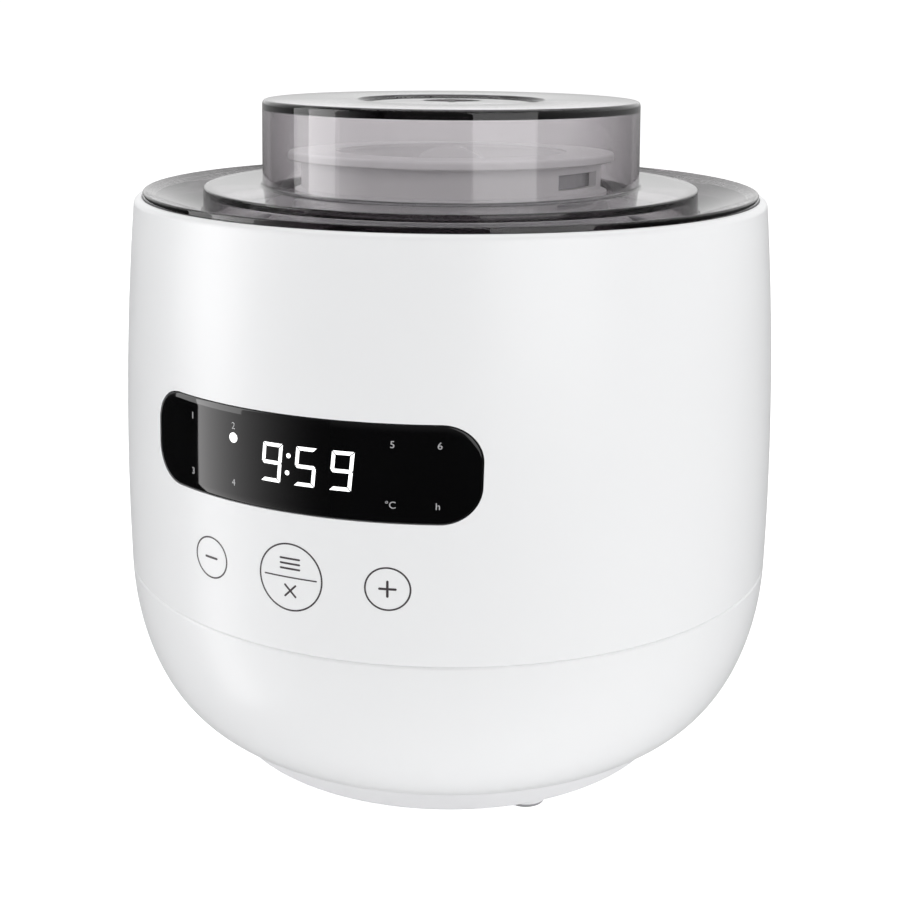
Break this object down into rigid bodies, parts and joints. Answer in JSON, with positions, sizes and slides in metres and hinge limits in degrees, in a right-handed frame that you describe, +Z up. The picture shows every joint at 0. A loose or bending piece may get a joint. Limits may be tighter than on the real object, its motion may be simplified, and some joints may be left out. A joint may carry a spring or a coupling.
{
  "type": "yogurt maker",
  "caption": "Round yogurt maker: heated white housing with a digital panel, a jar with strainer and pot lid inside, and a stepped smoky cover.",
  "frame": {"origin": "on the floor under the centre of the base", "axes": "+Z up along the jar's axis, the control panel faces -Y, the mains inlet faces +Y"},
  "size_m": [0.1948, 0.1948, 0.1923],
  "materials": {
    "shell_white": "satin white ABS",
    "base_white": "fine matt white",
    "rubber_grey": "matt grey rubber",
    "screw_steel": "zinc plated",
    "deck_grey": "satin light grey",
    "well_aluminium": "satin drawn",
    "gasket_silicone": "translucent silicone",
    "heater_mica": "matt mica",
    "heater_silicone": "matt red silicone",
    "felt": "needle felt",
    "part_black": "satin black",
    "window_black": "piano black",
    "circuit_green": "solder mask",
    "led_white": "diffusing",
    "component_blue": "satin",
    "transformer_iron": "varnished",
    "connector_white": "nylon",
    "pin_brass": "nickel flashed",
    "wire_white": "PVC",
    "jar_clear": "translucent polypropylene",
    "strainer_white": "polypropylene",
    "lid_frosted": "satin translucent",
    "cover_smoke": "polished smoky SAN"
  },
  "bodies": {
    "housing": {"upper_shell": "shell_white", "lower_shell": "shell_white", "base_cover": "base_white", "well_support": "part_black", "rubber_feet": "rubber_grey", "base_screws": "screw_steel", "seam_screws": "screw_steel", "inner_deck": "deck_grey", "heating_well": "well_aluminium", "well_gasket": "gasket_silicone", "heater_plate": "heater_mica", "heater_clamp": "screw_steel", "heater_band": "heater_silicone", "insulation_sleeve": "felt", "thermal_fuse": "screw_steel", "ntc_sensor": "screw_steel", "display_window": "window_black", "display_frame": "part_black", "display_board": "circuit_green", "display_screws": "screw_steel", "digit_module": "led_white", "status_leds": "led_white", "touch_contacts": "rubber_grey", "control_board": "circuit_green", "board_screws": "screw_steel", "transformer": "transformer_iron", "relay": "component_blue", "capacitors": "part_black", "board_connectors": "connector_white", "power_inlet": "part_black", "inlet_pins": "pin_brass", "mains_leads": "wire_white", "heater_leads": "wire_white", "display_leads": "wire_white"},
    "jar": {"jar": "jar_clear"},
    "strainer": {"strainer": "strainer_white"},
    "lid_seal": {"lid_seal": "gasket_silicone"},
    "pot_lid": {"pot_lid": "lid_frosted"},
    "cover": {"cover": "cover_smoke"}
  },
  "joints": [
    {"name": "jar_lift", "type": "slide", "parent": "housing", "child": "jar", "axis": [0, 0, 1], "range_m": [0, 0.14]},
    {"name": "strainer_lift", "type": "slide", "parent": "jar", "child": "strainer", "axis": [0, 0, 1], "range_m": [0, 0.12]},
    {"name": "seal_lift", "type": "slide", "parent": "strainer", "child": "lid_seal", "axis": [0, 0, 1], "range_m": [0, 0.03]},
    {"name": "lid_twist", "type": "hinge", "parent": "lid_seal", "child": "pot_lid", "pos_m": [0, 0, 0.1763], "axis": [0, 0, 1], "range_deg": [0, 45]},
    {"name": "cover_lift", "type": "slide", "parent": "lid_seal", "child": "cover", "axis": [0, 0, 1], "range_m": [0, 0.05]}
  ]
}
